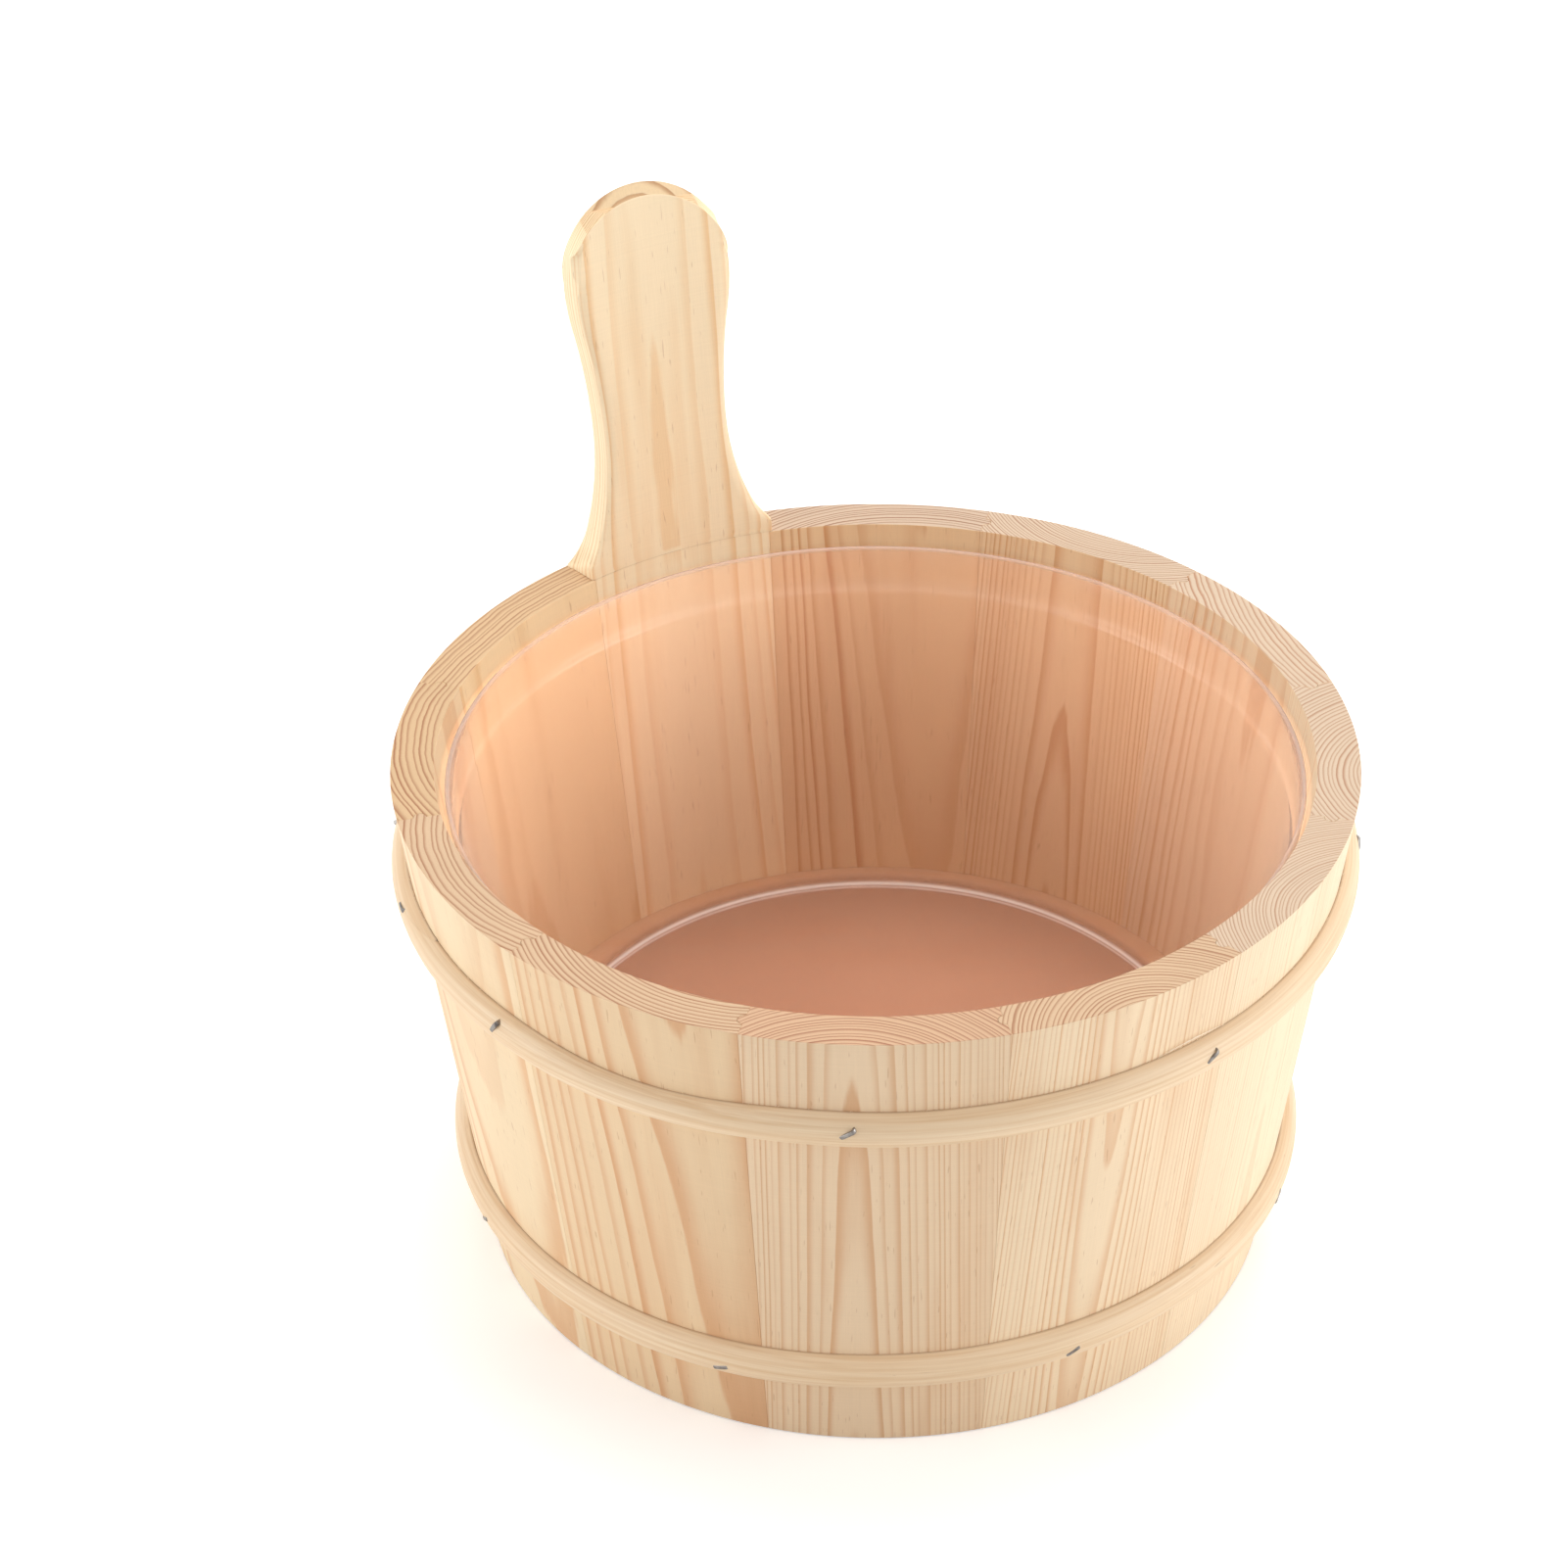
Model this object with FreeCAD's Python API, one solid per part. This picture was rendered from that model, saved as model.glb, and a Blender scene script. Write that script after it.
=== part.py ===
import FreeCAD, Part
import math
import os

os.makedirs("parts", exist_ok=True)

# A coopered pail whose one tall stave is its handle, with a clear liner that lifts out.
# Lengths are in millimetres. Angles are in degrees, and an angle that places something is
# measured about the pail's axis from +X, towards +Y. The origin is the centre of the foot,
# +Z is up and the handle stands on +Y.

# The body, measured over the staves
body_height = 141.5
rim_radius = 125.0
foot_radius = 105.9
stave_thickness = 11.3

# Ten equal staves, the handle stave, and one wider stave that closes the ring
full_turn = 360.0
plain_stave_count = 10
plain_stave_angle = 30.0
handle_stave_angle = 27.4
handle_centre_angle = 90.0

# The half round tongue on one edge of each stave and the groove on the other
tongue_radius = 1.7
tongue_inset = 5.4
tongue_clearance = 0.1

# The handle's outline, as heights above the rim and half widths of the board
handle_rise = 103.2
crown_radius = 25.0
crown_skew_angle = 15.6
neck_rise = 36.0
flare_rise = 9.0
neck_half_width = 18.5
paddle_half_width = 23.1
paddle_rise = 80.5
lower_neck_radius = 70.0
flare_radius = 20.0
upper_neck_share = 0.69
handle_edge_radius = 2.6

# The bottom, three planks edge to edge, bevelled below to enter the staves' groove
bottom_top_height = 34.2
bottom_thickness = 12.0
bottom_edge_thickness = 6.0
croze_depth = 3.0
bottom_clearance = 0.2
bottom_bevel_reach = 7.0
middle_plank_half_width = 46.0
plank_angle = -28.7

# The two half round hoops, each closed by a long slanting scarf
hoop_height = 10.6
hoop_depth = 4.8
hoop_clearance = 0.05
upper_hoop_centre_height = 114.5
lower_hoop_centre_height = 27.9
hoop_facet_count = 6
scarf_length = 96.0
scarf_gap = 0.4
upper_scarf_angle = 154.8
lower_scarf_angle = 63.8

# The wire staples that hold the hoops, driven in aslant
staple_crown = 5.0
staple_wire_width = 1.2
staple_wire_thickness = 0.7
staple_leg = 10.5
staple_proud = 0.2
staple_tilt_angle = 30.0
staple_count = 8
upper_staple_angle = -121.7
upper_staple_lift = 1.4
lower_staple_angle = -138.7
lower_staple_lift = -0.9
scarf_staple_angle = 167.3
scarf_staple_tilt_angle = 8.0
scarf_staple_lift = 2.2

# The liner, a thin tub with an upright collar above a wall that narrows to its floor
liner_rim_height = 136.0
liner_rim_gap = 1.56
liner_floor_gap = 9.2
liner_thickness = 1.2
liner_collar_height = 12.7
liner_step = 0.9
liner_corner_radius = 5.0
liner_corner_facet_count = 2

slope_share = (rim_radius - foot_radius) / body_height
lean = math.degrees(math.atan(slope_share))
up_axis = FreeCAD.Vector(0, 0, 1)
centre = FreeCAD.Vector(0, 0, 0)


def outer_radius(height):
    return foot_radius + slope_share * height


def inner_radius(height):
    return outer_radius(height) - stave_thickness


def in_section(radius, height):
    """A point of a section drawn in the plane of +X and +Z."""
    return FreeCAD.Vector(radius, 0, height)


def turned(points, start, angle):
    """A closed section of straight edges, turned about the pail's axis."""
    wire = Part.makePolygon(points + points[:1])
    solid = Part.Face(wire).revolve(centre, up_axis, angle)
    solid.rotate(centre, up_axis, start)
    return solid


def save(shape, name):
    shape.exportStep("parts/" + name + ".step")


# Staves

croze_top = bottom_top_height
croze_foot = bottom_top_height - bottom_edge_thickness


def stave_section(top_height):
    """The stave cut through its middle, with the groove for the bottom near its foot."""
    return [
        in_section(outer_radius(0), 0),
        in_section(outer_radius(top_height), top_height),
        in_section(inner_radius(top_height), top_height),
        in_section(inner_radius(croze_top), croze_top),
        in_section(inner_radius(croze_top) + croze_depth, croze_top),
        in_section(inner_radius(croze_foot) + croze_depth, croze_foot),
        in_section(inner_radius(croze_foot), croze_foot),
        in_section(inner_radius(0), 0),
    ]


def edge_bead(direction, radius):
    """A round rod down the middle of a joint, cut off level with the foot and the rim."""
    low = in_section(inner_radius(0) + tongue_inset, 0)
    high = in_section(inner_radius(body_height) + tongue_inset, body_height)
    along = (high - low).normalize()
    spare = along * (radius + radius)
    rod = Part.makeCylinder(radius, (high - low).Length + 2 * spare.Length, low - spare, along)
    body = Part.makeCylinder(rim_radius, body_height)
    bead = rod.common(body)
    bead.rotate(centre, up_axis, direction)
    return bead


def stave(start, angle, top_height):
    """One stave, with its tongue on the edge it starts from and its groove on the other."""
    board = turned(stave_section(top_height), start, angle)
    board = board.fuse(edge_bead(start, tongue_radius))
    board = board.cut(edge_bead(start + angle, tongue_radius + tongue_clearance))
    return board.removeSplitter()


# The handle, cut from the tall stave

def on_board(across, rise, depth):
    """A point on the leaning handle board, from the middle of its foot at the rim."""
    lean_angle = math.radians(lean)
    middle = rim_radius - stave_thickness / 2
    out = middle + rise * math.sin(lean_angle) + depth * math.cos(lean_angle)
    up = body_height + rise * math.cos(lean_angle) - depth * math.sin(lean_angle)
    return FreeCAD.Vector(across, out, up)


def arc(middle_across, middle_rise, radius, first, last, depth):
    """An arc on the board about a centre, from the first angle to the last."""
    points = []
    for angle in (first, (first + last) / 2, last):
        across = middle_across + radius * math.cos(angle)
        rise = middle_rise + radius * math.sin(angle)
        points.append(on_board(across, rise, depth))
    return Part.Arc(points[0], points[1], points[2]).toShape()


def board_face(edges):
    return Part.Face(Part.Wire(Part.__sortEdges__(edges)))


def lines(points):
    return [Part.makeLine(first, last) for first, last in zip(points, points[1:])]


def waisted_outline(depth):
    """The sides of the handle: a flare at the rim, a neck and a wider grip."""
    widening = paddle_half_width - neck_half_width
    climb = paddle_rise - neck_rise
    both_radii = (widening ** 2 + climb ** 2) / (2 * widening)
    upper_neck_radius = upper_neck_share * both_radii
    side_radius = both_radii - upper_neck_radius
    swing = math.asin(climb / both_radii)

    low_swing = math.asin((neck_rise - flare_rise) / lower_neck_radius)
    joint_across = neck_half_width + lower_neck_radius * (1 - math.cos(low_swing))
    flare_across = joint_across + flare_radius * math.cos(low_swing)
    flare_middle = flare_rise + flare_radius * math.sin(low_swing)
    foot_swing = math.asin(flare_middle / flare_radius)
    foot_across = flare_across - flare_radius * math.cos(foot_swing)

    right = [
        arc(flare_across, flare_middle, flare_radius, math.pi + foot_swing, math.pi + low_swing, depth),
        arc(neck_half_width + lower_neck_radius, neck_rise, lower_neck_radius,
            math.pi + low_swing, math.pi, depth),
        arc(neck_half_width + upper_neck_radius, neck_rise, upper_neck_radius,
            math.pi, math.pi - swing, depth),
        arc(paddle_half_width - side_radius, paddle_rise, side_radius, -swing, 0, depth),
    ]
    board_centre = on_board(0, 0, depth)
    side_normal = FreeCAD.Vector(1, 0, 0)
    left = [edge.mirror(board_centre, side_normal) for edge in right]
    high = handle_rise + stave_thickness
    low = -body_height - stave_thickness
    above = lines([
        on_board(paddle_half_width, paddle_rise, depth),
        on_board(paddle_half_width, high, depth),
        on_board(-paddle_half_width, high, depth),
        on_board(-paddle_half_width, paddle_rise, depth),
    ])
    below = lines([
        on_board(foot_across, 0, depth),
        on_board(rim_radius, 0, depth),
        on_board(rim_radius, low, depth),
        on_board(-rim_radius, low, depth),
        on_board(-rim_radius, 0, depth),
        on_board(-foot_across, 0, depth),
    ])
    return board_face(right + above + left + below)


def below_crown():
    """All that lies below the handle's round top, which was sawn a little askew."""
    depth = -stave_thickness
    middle_rise = handle_rise - crown_radius
    low = -body_height - stave_thickness
    aside = depth * math.tan(math.radians(crown_skew_angle))
    crown = arc(aside, middle_rise, crown_radius, 0, math.pi, depth)
    below = lines([
        on_board(aside + crown_radius, middle_rise, depth),
        on_board(rim_radius, middle_rise, depth),
        on_board(rim_radius, low, depth),
        on_board(-rim_radius, low, depth),
        on_board(-rim_radius, middle_rise, depth),
        on_board(aside - crown_radius, middle_rise, depth),
    ])
    through = on_board(-aside, 0, -depth) - on_board(aside, 0, depth)
    return board_face([crown] + below).extrude(through)


def handle_stave(start):
    """The tall stave, sawn to its waist, rounded along its sides, then cut to its crown."""
    tall = stave(start, handle_stave_angle, body_height + handle_rise + 2 * stave_thickness)
    through = on_board(0, 0, stave_thickness) - on_board(0, 0, -stave_thickness)
    board = tall.common(waisted_outline(-stave_thickness).extrude(through)).removeSplitter()
    rounded = []
    for edge in board.Edges:
        box = edge.BoundBox
        upright = box.ZLength > box.XLength / 2 and box.ZLength > stave_thickness / 2
        if box.ZMin > body_height - tongue_clearance and upright:
            rounded.append(edge)
    board = board.makeFillet(handle_edge_radius, rounded)
    return board.common(below_crown()).removeSplitter()


# Bottom planks

def bottom_disc():
    """The whole bottom, seated in the groove, its lower edge bevelled."""
    low = bottom_top_height - bottom_thickness
    seat = croze_depth - bottom_clearance
    section = [
        in_section(0, low),
        in_section(inner_radius(croze_foot) - bottom_bevel_reach, low),
        in_section(inner_radius(croze_foot) - bottom_clearance, croze_foot),
        in_section(inner_radius(croze_foot) + seat, croze_foot),
        in_section(inner_radius(croze_top) + seat, croze_top),
        in_section(0, croze_top),
    ]
    return turned(section, 0, full_turn)


def plank(disc, first, last):
    """The strip of the bottom between two seams, given as distances from the middle."""
    block = Part.makeBox(2 * rim_radius, last - first, body_height,
                         FreeCAD.Vector(-rim_radius, first, 0))
    block.rotate(centre, up_axis, plank_angle)
    return disc.common(block)


# Hoops

def on_wall(height, along, out):
    """A section point by the wall, along its slope and out from its face."""
    lean_angle = math.radians(lean)
    radius = outer_radius(height) + along * math.sin(lean_angle) + out * math.cos(lean_angle)
    rise = height + along * math.cos(lean_angle) - out * math.sin(lean_angle)
    return in_section(radius, rise)


def scarf_cut(height, direction):
    """The thin slanting slot between the hoop's two tapered ends."""
    reach = 2 * scarf_length
    depth = hoop_height + hoop_depth
    slab = Part.makeBox(2 * depth, reach, scarf_gap,
                        FreeCAD.Vector(-depth, -reach / 2, -scarf_gap / 2))
    slab.rotate(centre, FreeCAD.Vector(1, 0, 0), math.degrees(math.atan(hoop_height / scarf_length)))
    slab.translate(on_wall(height, 0, hoop_depth / 2))
    slab.rotate(centre, up_axis, direction)
    return slab


def hoop_arc():
    """The radius of the hoop's round face, and how far its centre lies behind the wall."""
    half = hoop_height / 2
    radius = (half ** 2 + hoop_depth ** 2) / (2 * hoop_depth)
    return radius, radius - hoop_depth


def hoop_face(along):
    """How far the round face stands out from the wall, at a distance from its middle."""
    radius, behind = hoop_arc()
    return math.sqrt(radius ** 2 - along ** 2) - behind + hoop_clearance


def hoop(height, scarf_direction):
    """A half round hoop round the staves, open at its scarf."""
    radius, behind = hoop_arc()
    first = math.asin(behind / radius)
    swing = (math.pi - 2 * first) / hoop_facet_count
    section = []
    for number in range(hoop_facet_count + 1):
        angle = first + number * swing
        along = radius * math.cos(angle)
        out = radius * math.sin(angle) - behind + hoop_clearance
        section.append(on_wall(height, along, out))
    return turned(section, 0, full_turn).cut(scarf_cut(height, scarf_direction))


# Staples

def staple(height, direction, slant, lift):
    """A wire staple through a hoop into the staves, its crown just proud of the hoop."""
    crown_out = hoop_face(lift) + staple_proud
    half = staple_crown / 2
    wide = staple_wire_width
    wire = staple_wire_thickness
    outer = Part.makeBox(staple_leg, staple_crown, wide, FreeCAD.Vector(-staple_leg, -half, -wide / 2))
    inner = Part.makeBox(staple_leg, staple_crown - 2 * wire, wide,
                         FreeCAD.Vector(-staple_leg - wire, wire - half, -wide / 2))
    bent = outer.cut(inner)
    corners = []
    for edge in bent.Edges:
        box = edge.BoundBox
        if abs(box.XMin) < wire / 2 and box.ZLength > wide / 2:
            corners.append(edge)
    bent = bent.makeChamfer(wire / 2, corners)
    bent.rotate(centre, FreeCAD.Vector(1, 0, 0), slant)
    bent.rotate(centre, FreeCAD.Vector(0, 1, 0), lean)
    bent.translate(on_wall(height, lift, crown_out))
    bent.rotate(centre, up_axis, direction)
    return bent


def staple_ring(height, first_direction, lift):
    step = full_turn / staple_count
    ring = []
    for number in range(staple_count):
        ring.append(staple(height, first_direction + number * step, staple_tilt_angle, lift))
    return ring


# Liner

def liner():
    """The tub: collar, small step in, tapering wall and rounded floor corner."""
    floor = bottom_top_height
    floor_radius = inner_radius(floor) - liner_floor_gap
    rim = inner_radius(liner_rim_height) - liner_rim_gap
    thick = liner_thickness
    collar_foot = liner_rim_height - liner_collar_height
    collar_radius = rim - slope_share * liner_collar_height
    wall_radius = collar_radius - liner_step
    wall_share = (wall_radius - floor_radius) / (collar_foot - floor)
    wall_tilt = math.atan(wall_share)
    collar_gap = thick / math.cos(math.radians(lean))
    wall_gap = thick / math.cos(wall_tilt)
    inside = collar_foot + thick

    turn = math.pi / 2 - wall_tilt
    corner_across = floor_radius - liner_corner_radius * math.tan(turn / 2)
    corner_height = floor + liner_corner_radius
    outer = [in_section(0, floor)]
    inner = [in_section(0, floor + thick)]
    for number in range(liner_corner_facet_count + 1):
        angle = number * turn / liner_corner_facet_count - math.pi / 2
        for side, radius in ((outer, liner_corner_radius), (inner, liner_corner_radius - thick)):
            across = corner_across + radius * math.cos(angle)
            side.append(in_section(across, corner_height + radius * math.sin(angle)))
    outer += [
        in_section(wall_radius, collar_foot),
        in_section(collar_radius, collar_foot),
        in_section(rim, liner_rim_height),
    ]
    inner += [
        in_section(wall_radius + wall_share * thick - wall_gap, inside),
        in_section(collar_radius + slope_share * thick - collar_gap, inside),
        in_section(rim - collar_gap, liner_rim_height),
    ]
    return turned(outer + inner[::-1], 0, full_turn)


# Build and save every piece

handle_start = handle_centre_angle - handle_stave_angle / 2
wide_start = handle_start + handle_stave_angle
wide_stave_angle = full_turn - plain_stave_count * plain_stave_angle - handle_stave_angle
plain_start = wide_start + wide_stave_angle

upper_staples = staple_ring(upper_hoop_centre_height, upper_staple_angle, upper_staple_lift)
upper_staples.append(staple(upper_hoop_centre_height, scarf_staple_angle,
                            scarf_staple_tilt_angle, scarf_staple_lift))
lower_staples = staple_ring(lower_hoop_centre_height, lower_staple_angle, lower_staple_lift)
all_staples = upper_staples + lower_staples

save(handle_stave(handle_start).cut(all_staples), "handle_stave")
save(stave(wide_start, wide_stave_angle, body_height).cut(all_staples), "wide_stave")
for number in range(plain_stave_count):
    start = plain_start + number * plain_stave_angle
    board = stave(start, plain_stave_angle, body_height).cut(all_staples)
    save(board, "stave_%02d" % (number + 1))

disc = bottom_disc()
save(plank(disc, -rim_radius, -middle_plank_half_width), "front_bottom_plank")
save(plank(disc, -middle_plank_half_width, middle_plank_half_width), "middle_bottom_plank")
save(plank(disc, middle_plank_half_width, rim_radius), "back_bottom_plank")

save(hoop(upper_hoop_centre_height, upper_scarf_angle).cut(all_staples), "upper_hoop")
save(hoop(lower_hoop_centre_height, lower_scarf_angle).cut(all_staples), "lower_hoop")
save(Part.makeCompound(upper_staples), "upper_hoop_staples")
save(Part.makeCompound(lower_staples), "lower_hoop_staples")
save(liner(), "liner")
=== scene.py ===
import math
import random
import bpy
from mathutils import Matrix, Vector


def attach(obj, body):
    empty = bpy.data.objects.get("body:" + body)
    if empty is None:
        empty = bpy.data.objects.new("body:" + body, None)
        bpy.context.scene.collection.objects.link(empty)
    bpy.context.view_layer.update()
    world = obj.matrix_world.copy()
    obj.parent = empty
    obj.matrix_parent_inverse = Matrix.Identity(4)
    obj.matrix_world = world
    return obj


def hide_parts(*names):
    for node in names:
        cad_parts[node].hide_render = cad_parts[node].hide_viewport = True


# A coopered pine pail with a tall handle stave, two cane hoops and a clear liner.
# Sizes are in millimetres and angles in degrees, unless a comment or a name says otherwise.

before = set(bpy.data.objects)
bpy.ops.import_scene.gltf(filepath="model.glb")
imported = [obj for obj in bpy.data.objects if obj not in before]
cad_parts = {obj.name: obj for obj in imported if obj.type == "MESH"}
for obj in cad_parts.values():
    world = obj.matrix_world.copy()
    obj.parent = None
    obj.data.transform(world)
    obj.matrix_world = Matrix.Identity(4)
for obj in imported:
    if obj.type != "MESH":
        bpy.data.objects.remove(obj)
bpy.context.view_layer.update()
millimetre = 0.001

# The pail's own sizes

body_height = 141.5
rim_radius = 125.0
foot_radius = 105.9
stave_thickness = 11.3
half_thickness = stave_thickness / 2

# How far the wall moves out for each step up, and its lean in radians
slope = (rim_radius - foot_radius) / body_height
lean = math.atan(slope)

plain_stave_angle = 30.0
handle_stave_angle = 27.4
handle_start = 90.0 - handle_stave_angle / 2
wide_start = handle_start + handle_stave_angle
wide_stave_angle = 360.0 - 10 * plain_stave_angle - handle_stave_angle
plain_start = wide_start + wide_stave_angle

tongue_radius = 1.7
groove_radius = 1.8
tongue_inset = 5.4
bottom_top = 34.2
croze_foot = 28.2
croze_depth = 3.0


def outer_radius(height):
    return foot_radius + slope * height


def inner_radius(height):
    return outer_radius(height) - stave_thickness


def polar(radius, angle, height):
    turn = math.radians(angle)
    return (radius * math.cos(turn), radius * math.sin(turn), height)


def arc(radius, away):
    """How far an arc lies from its centre line, at a distance from its middle."""
    return math.sqrt(radius ** 2 - away ** 2)


# Meshes

# Every outline of a stave has the same count of points, so that the handle grows out of one.
face_steps = 16
side_steps = 8


def add_object(name, data):
    added = bpy.data.objects.new(name, data)
    bpy.context.scene.collection.objects.link(added)
    return added


def piece_from(name, points, faces, material, body, nodes):
    """A smooth shaded piece in metres, riding its body and standing for its solids."""
    mesh = bpy.data.meshes.new(name)
    mesh.from_pydata([Vector(point) * millimetre for point in points], [], faces)
    mesh.validate()
    mesh.materials.append(material)
    mesh.shade_smooth()
    piece = add_object(name, mesh)
    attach(piece, body)
    if nodes:
        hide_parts(*nodes)
    return piece


def joined(points, faces):
    """The same surface with points in one place made one, and faces without area left out."""
    places = {}
    kept = []
    places_of = []
    for point in points:
        key = tuple(round(value, 3) for value in point)
        if key not in places:
            places[key] = len(kept)
            kept.append(point)
        places_of.append(places[key])
    clean = []
    for face in faces:
        corners = []
        for corner in face:
            if places_of[corner] not in corners:
                corners.append(places_of[corner])
        if len(corners) > 2:
            clean.append(tuple(corners))
    return kept, clean


def loft(rings):
    """Faces between rings of points with equal counts, capped at both ends."""
    count = len(rings[0])
    points = [point for ring in rings for point in ring]
    faces = []
    for row in range(len(rings) - 1):
        low = row * count
        high = low + count
        for place in range(count):
            beside = (place + 1) % count
            faces.append((low + place, low + beside, high + beside, high + place))
    faces.append(tuple(range(count))[::-1])
    faces.append(tuple((len(rings) - 1) * count + place for place in range(count)))
    return points, faces


def add_loft(points, faces, rings):
    """Adds the surface between the rings to a growing mesh."""
    more_points, more_faces = loft(rings)
    start = len(points)
    points += more_points
    faces += [tuple(start + corner for corner in face) for face in more_faces]


def soften(piece, width, angle=38):
    """A fine break along every sharp edge."""
    bevel = piece.modifiers.new("edge_break", "BEVEL")
    bevel.width = width * millimetre
    bevel.segments = 2
    bevel.limit_method = "ANGLE"
    bevel.angle_limit = math.radians(angle)
    bevel.use_clamp_overlap = False
    bevel.harden_normals = True


# Formulas on surfaces

def socket_of(value):
    return value.socket if isinstance(value, Number) else value


def add_node(tree, kind, inputs=None, **settings):
    """A node with its settings made and its inputs filled in or linked."""
    node = tree.nodes.new(kind)
    for key, value in settings.items():
        setattr(node, key, value)
    for key, value in (inputs or {}).items():
        value = socket_of(value)
        if isinstance(value, bpy.types.NodeSocket):
            tree.links.new(value, node.inputs[key])
        else:
            node.inputs[key].default_value = value
    return node


class Number:
    """A number that varies over a surface, so that formulas read as formulas."""

    def __init__(self, tree, socket):
        self.tree = tree
        self.socket = socket

    def work(self, operation, *others):
        inputs = {0: self}
        for place, other in enumerate(others):
            inputs[place + 1] = other
        node = add_node(self.tree, "ShaderNodeMath", inputs, operation=operation)
        return Number(self.tree, node.outputs[0])

    def __add__(self, other):
        return self.work("ADD", other)

    def __sub__(self, other):
        return self.work("SUBTRACT", other)

    def __mul__(self, other):
        return self.work("MULTIPLY", other)

    def __truediv__(self, other):
        return self.work("DIVIDE", other)

    __radd__ = __add__
    __rmul__ = __mul__

    def __rsub__(self, other):
        return (self * -1) + other

    def root(self):
        return self.work("SQRT")

    def floor(self):
        return self.work("FLOOR")

    def size(self):
        return self.work("ABSOLUTE")

    def power(self, exponent):
        return self.work("POWER", exponent)

    def rise(self, low, high):
        """Runs smoothly from 0 at low to 1 at high."""
        node = add_node(self.tree, "ShaderNodeMapRange",
                        {"Value": self, "From Min": low, "From Max": high},
                        interpolation_type="SMOOTHSTEP")
        return Number(self.tree, node.outputs["Result"])

    def bump(self, middle, reach):
        """A smooth hill of height 1 that ends at reach from its middle."""
        return 1 - (self - middle).size().rise(0, reach)


def vector(tree, across, out, up):
    node = add_node(tree, "ShaderNodeCombineXYZ", {0: across, 1: out, 2: up})
    return node.outputs[0]


def noise(tree, across, out, up, detail=2.0, roughness=0.5):
    """Smooth noise about zero, one unit of its inputs to a bump."""
    node = add_node(tree, "ShaderNodeTexNoise",
                    {"Vector": vector(tree, across, out, up), "Scale": 1.0,
                     "Detail": detail, "Roughness": roughness})
    return Number(tree, node.outputs[0]) * 2 - 1


def line_noise(tree, along):
    """Smooth noise about zero along a line."""
    node = add_node(tree, "ShaderNodeTexNoise", {"W": along, "Scale": 1.0, "Detail": 1.0},
                    noise_dimensions="1D")
    return Number(tree, node.outputs[0]) * 2 - 1


def chance(tree, value):
    """A random number from 0 to 1 that belongs to a value."""
    node = add_node(tree, "ShaderNodeTexWhiteNoise", {"W": value}, noise_dimensions="1D")
    return Number(tree, node.outputs["Value"])


def linear(red, green, blue):
    """A colour as it shows on a screen, turned into light."""
    parts = []
    for part in (red, green, blue):
        share = part / 255
        parts.append(share / 12.92 if share <= 0.04045 else ((share + 0.055) / 1.055) ** 2.4)
    return (parts[0], parts[1], parts[2], 1.0)


def mix(tree, factor, first, second):
    node = add_node(tree, "ShaderNodeMix", {0: factor, 6: first, 7: second}, data_type="RGBA")
    return node.outputs[2]


def scaled(tree, value, factor):
    """A colour or a point times a factor."""
    node = add_node(tree, "ShaderNodeVectorMath", {0: value, "Scale": factor}, operation="SCALE")
    return node.outputs[0]


def new_material(name):
    material = bpy.data.materials.new(name)
    material.use_nodes = True
    tree = material.node_tree
    tree.nodes.clear()
    return material, tree


def finish_material(tree, shader_socket):
    add_node(tree, "ShaderNodeOutputMaterial", {"Surface": shader_socket})


def bumped(tree, height, strength, distance):
    """Normals for a relief, its distance in metres."""
    node = add_node(tree, "ShaderNodeBump",
                    {"Height": height, "Strength": strength, "Distance": distance})
    return node.outputs[0]


def split(tree, socket):
    node = add_node(tree, "ShaderNodeSeparateXYZ", {0: socket})
    return [Number(tree, node.outputs[place]) for place in range(3)]


def object_place(tree):
    """The three coordinates of a point, in metres."""
    place = add_node(tree, "ShaderNodeTexCoord")
    return split(tree, place.outputs["Object"])


def from_axis(x, y):
    """The distance from the pail's axis, in millimetres."""
    return (x * x + y * y).root() / millimetre


def seen_directly(tree):
    """One for what the eye sees, also in gloss or through clear material, and otherwise zero."""
    path = add_node(tree, "ShaderNodeLightPath")
    seen = Number(tree, path.outputs["Is Camera Ray"])
    for kind in ("Is Glossy Ray", "Is Transmission Ray"):
        seen = seen.work("MAXIMUM", path.outputs[kind])
    return seen


# Pine, with growth rings as tubes about each board's own pith

class Pine:
    """How one board was cut: where its pith lies at the rim and the foot, and its colours.

    The colours are as a screen shows them: early and late wood on a face, then on an end.
    """

    def __init__(self, seed, rim, foot, spacing, strength=1.0, shift=0.0, waver=1.0,
                 face=(238, 212, 178), late=(214, 164, 118), end=(214, 182, 148),
                 end_late=(158, 100, 66)):
        self.seed = seed
        self.rim = rim
        self.foot = foot
        self.spacing = spacing
        self.strength = strength
        self.shift = shift
        self.waver = waver
        self.face = face
        self.late = late
        self.end = end
        self.end_late = end_late


def board_place(tree, turn):
    """A point in millimetres and its normal, both turned about the pail's axis."""
    place = add_node(tree, "ShaderNodeTexCoord")
    turned = []
    for source in ("Object", "Normal"):
        node = add_node(tree, "ShaderNodeVectorRotate",
                        {"Vector": place.outputs[source], "Angle": math.radians(turn)},
                        rotation_type="Z_AXIS")
        turned.append(node.outputs[0])
    return split(tree, scaled(tree, turned[0], 1 / millimetre)), split(tree, turned[1])


def stave_place(tree, centre_angle):
    """Across the stave, out from its middle, up, and how far its surface faces along the grain."""
    (across, out, up), (_, facing_out, facing_up) = board_place(tree, 90 - centre_angle)
    middle = up * slope + (foot_radius - half_thickness)
    along_grain = facing_out * math.sin(lean) + facing_up * math.cos(lean)
    return across * -1, out - middle, up, along_grain.size()


plank_angle = -28.7
plank_middle = bottom_top - 6


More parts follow.
